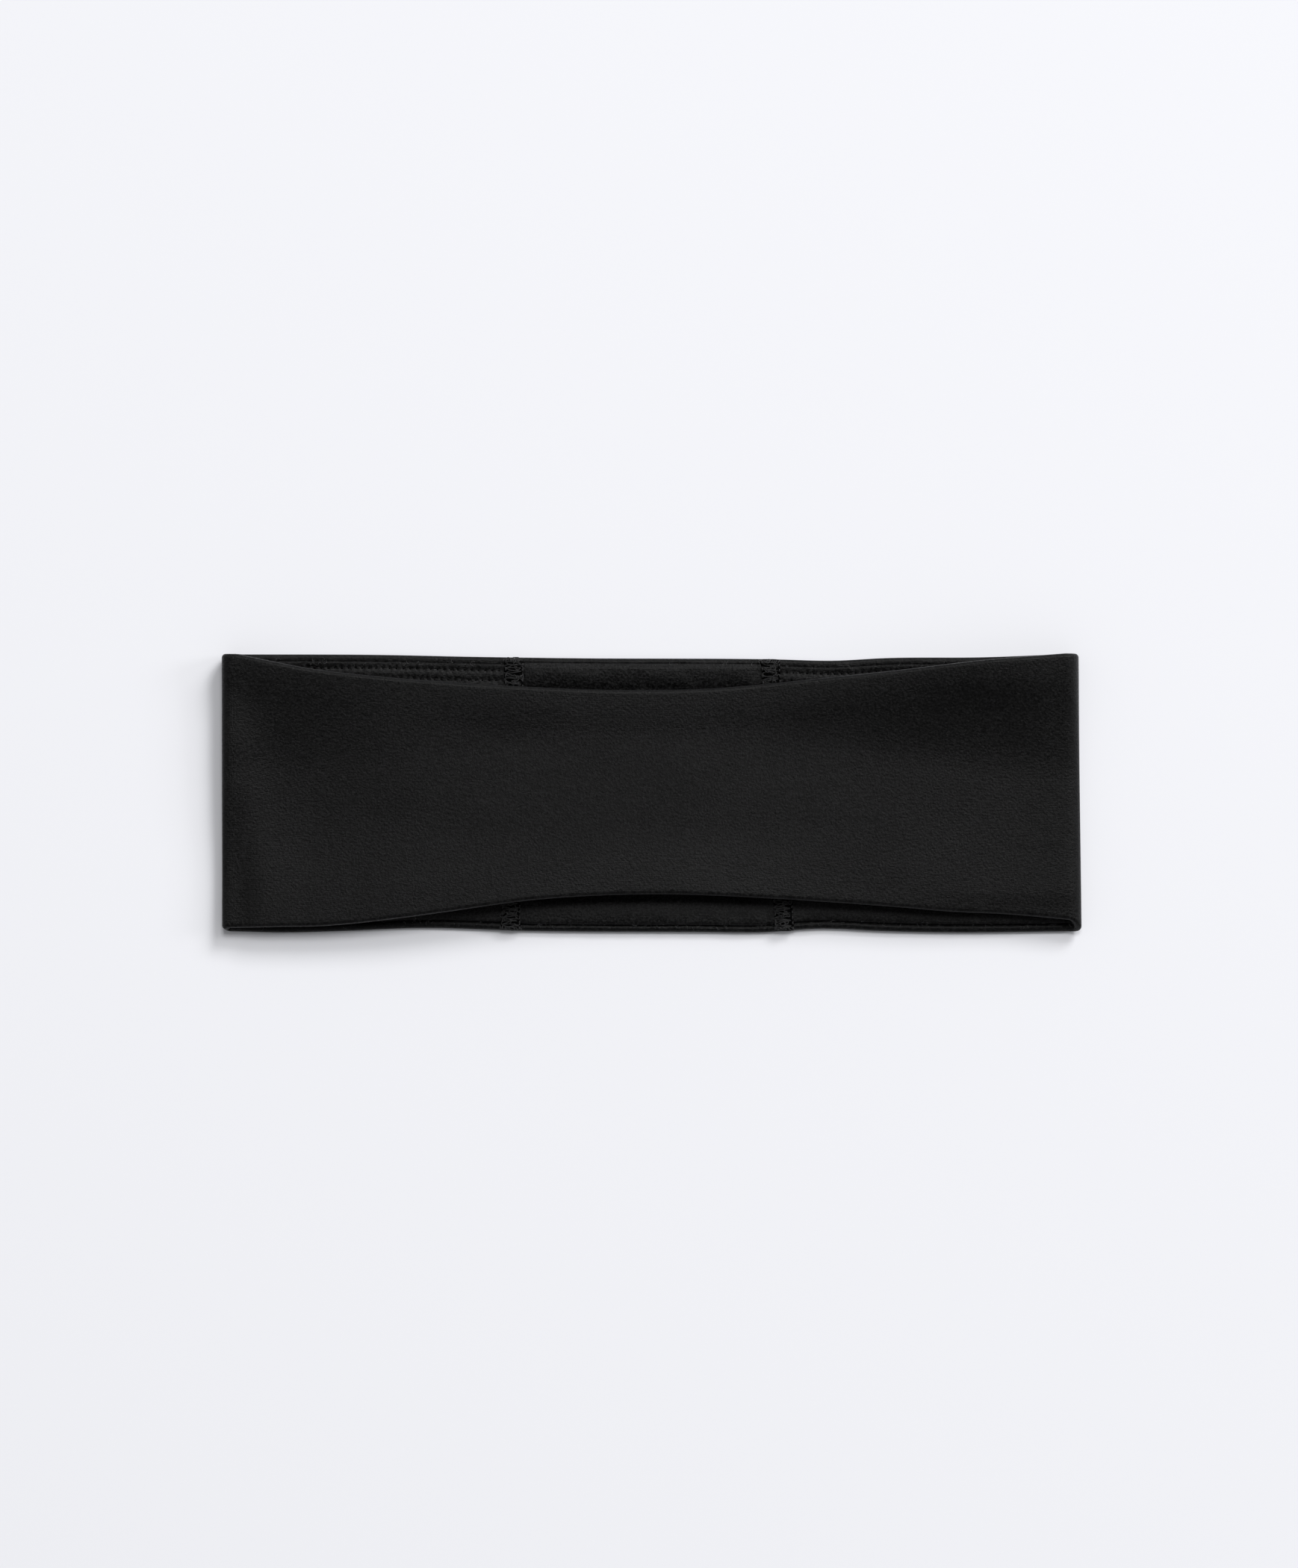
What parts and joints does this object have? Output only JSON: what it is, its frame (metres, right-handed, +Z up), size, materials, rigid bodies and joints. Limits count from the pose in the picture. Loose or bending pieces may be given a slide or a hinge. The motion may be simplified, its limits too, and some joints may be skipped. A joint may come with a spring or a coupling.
{
  "type": "sports headband",
  "caption": "Stretch jersey headband, a closed loop lying flat: a lined front panel and a short back panel joined by overlocked seams; holds hair and sweat off the face.",
  "frame": {"origin": "centre of the bounding box in plan, at the level of the table the band lies on", "axes": "+X from the left side fold to the right one, +Y from the bottom edge to the top edge of the band, +Z up from the table, from the back of the loop to the front"},
  "size_m": [0.2402, 0.0779, 0.0098],
  "materials": {
    "shell_jersey": "matte fine knit",
    "lining_jersey": "matte fine knit",
    "seam_jersey": "matte raw edge",
    "elastic": "woven elastic",
    "thread": "polyester sewing thread"
  },
  "bodies": {
    "root": {"front_shell": "shell_jersey", "front_lining": "lining_jersey", "back_shell": "shell_jersey", "back_lining": "lining_jersey", "elastic_tape": "elastic", "elastic_stitch_upper": "thread", "elastic_stitch_lower": "thread", "front_top_edge_thread": "thread", "front_bottom_edge_thread": "thread", "back_top_edge_thread": "thread", "back_bottom_edge_thread": "thread", "left_seam_allowance": "seam_jersey", "left_overlock_thread": "thread", "left_seam_needle_thread": "thread", "right_seam_allowance": "seam_jersey", "right_overlock_thread": "thread", "right_seam_needle_thread": "thread"}
  },
  "joints": []
}
